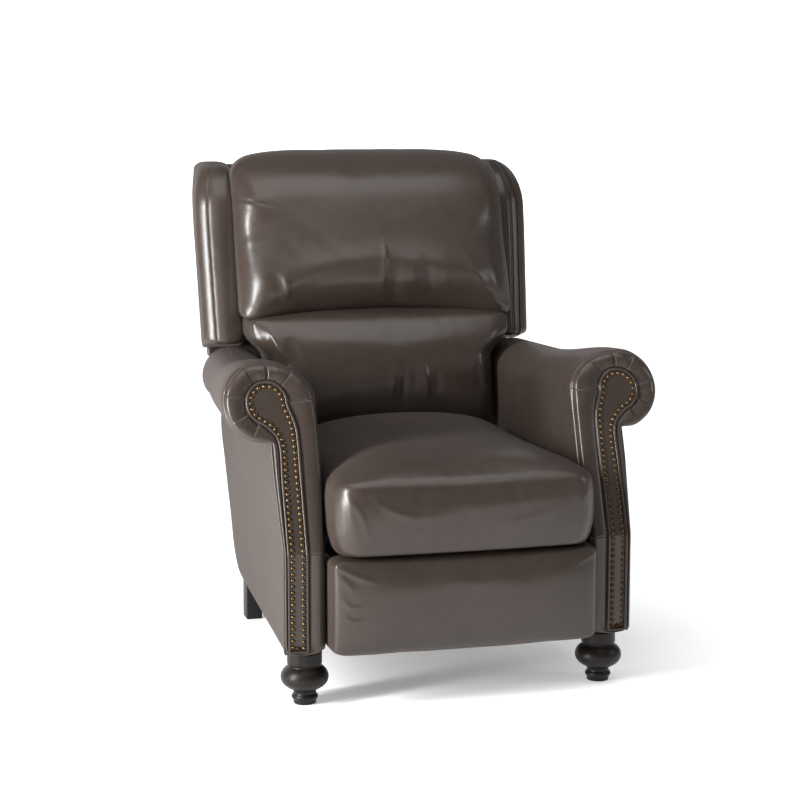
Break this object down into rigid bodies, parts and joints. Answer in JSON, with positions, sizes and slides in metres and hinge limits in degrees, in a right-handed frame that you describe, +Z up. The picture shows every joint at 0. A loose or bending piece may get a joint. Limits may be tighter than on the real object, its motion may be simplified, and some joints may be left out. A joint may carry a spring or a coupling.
{
  "type": "wingback recliner",
  "caption": "High-leg wingback recliner: rolled arms, turned front feet, a back that reclines, and a seat that glides forward to swing out a footrest on folding links.",
  "frame": {"origin": "on the floor, at the middle of the chair's width and midway between its foremost and rearmost points at rest", "axes": "+X across the chair to the right as seen from the front, +Y from front to back, +Z up"},
  "size_m": [0.9154, 1.0316, 1.0684],
  "materials": {
    "leather": "smooth glossy dark taupe upholstery leather",
    "dark_wood": "satin near-black espresso stain",
    "frame_wood": "sawn, unfinished",
    "dark_steel": "black oxide",
    "zinc_steel": "zinc plated",
    "nylon": "moulded black",
    "webbing": "woven elastic webbing"
  },
  "bodies": {
    "frame": {"arm_right": "leather", "arm_left": "leather", "arm_front_panel_right": "leather", "arm_front_panel_left": "leather", "front_foot_right": "dark_wood", "front_foot_left": "dark_wood", "foot_bolt_right": "zinc_steel", "foot_bolt_left": "zinc_steel", "rear_leg_right": "dark_wood", "rear_leg_left": "dark_wood", "rear_panel": "leather", "cross_rail": "frame_wood", "base_rail_right": "dark_steel", "base_rail_left": "dark_steel", "rail_packer_right": "frame_wood", "rail_packer_left": "frame_wood"},
    "rear_links": {"rear_link_right": "dark_steel", "rear_link_left": "dark_steel", "link_tube": "zinc_steel"},
    "front_links": {"front_link_right": "dark_steel", "front_link_left": "dark_steel"},
    "upper_links": {"upper_link_right": "dark_steel", "upper_link_left": "dark_steel"},
    "outer_links": {"outer_link_right": "dark_steel", "outer_link_left": "dark_steel"},
    "footrest": {"footrest_bracket_right": "dark_steel", "footrest_bracket_left": "dark_steel", "footrest_board": "frame_wood", "footrest_pad": "leather"},
    "seat": {"seat_cushion": "leather", "seat_front_rail": "frame_wood", "seat_rear_rail": "frame_wood", "seat_side_rail_right": "frame_wood", "seat_side_rail_left": "frame_wood", "seat_spring_1": "dark_steel", "seat_spring_2": "dark_steel", "seat_spring_3": "dark_steel", "seat_spring_4": "dark_steel", "seat_side_plate_right": "dark_steel", "seat_side_plate_left": "dark_steel", "front_glide_shoe_right": "nylon", "front_glide_shoe_left": "nylon", "rear_glide_shoe_right": "nylon", "rear_glide_shoe_left": "nylon"},
    "back": {"back_panel": "leather", "back_post_right": "frame_wood", "back_post_left": "frame_wood", "back_lower_rail": "frame_wood", "back_middle_rail": "frame_wood", "back_top_rail": "frame_wood", "back_web_1": "webbing", "back_web_2": "webbing", "back_web_3": "webbing", "back_bracket_right": "dark_steel", "back_bracket_left": "dark_steel", "wing_right": "leather", "wing_left": "leather", "lumbar_cushion": "leather", "head_cushion": "leather"}
  },
  "joints": [
    {"name": "seat_glide", "type": "slide", "parent": "frame", "child": "seat", "axis": [0, -0.9889, 0.1483], "range_m": [0, 0.06067]},
    {"name": "back_recline", "type": "hinge", "parent": "seat", "child": "back", "pos_m": [0, 0.25919, 0.32], "axis": [-1, 0, 0], "range_deg": [0, 28]},
    {"name": "rear_link_fold", "type": "hinge", "parent": "seat", "child": "rear_links", "pos_m": [0, -0.34081, 0.28], "axis": [-1, 0, 0], "range_deg": [0, 92]},
    {"name": "front_link_fold", "type": "hinge", "parent": "seat", "child": "front_links", "pos_m": [0, -0.39081, 0.28], "axis": [-1, 0, 0], "range_deg": [0, 92]},
    {"name": "upper_link_fold", "type": "hinge", "parent": "rear_links", "child": "upper_links", "pos_m": [0, -0.26136, 0.12407], "axis": [1, 0, 0], "range_deg": [0, 92]},
    {"name": "outer_link_fold", "type": "hinge", "parent": "rear_links", "child": "outer_links", "pos_m": [0, -0.26926, 0.16837], "axis": [1, 0, 0], "range_deg": [0, 92]},
    {"name": "footrest_fold", "type": "hinge", "parent": "upper_links", "child": "footrest", "pos_m": [0, -0.41481, 0.235], "axis": [-1, 0, 0], "range_deg": [0, 92]}
  ],
  "couplings": [
    {"joint": "rear_link_fold", "follows": "seat_glide", "rad_per_m": 26.465},
    {"joint": "front_link_fold", "follows": "seat_glide", "rad_per_m": 26.465},
    {"joint": "upper_link_fold", "follows": "seat_glide", "rad_per_m": 26.465},
    {"joint": "outer_link_fold", "follows": "seat_glide", "rad_per_m": 26.465},
    {"joint": "footrest_fold", "follows": "seat_glide", "rad_per_m": 26.465}
  ]
}
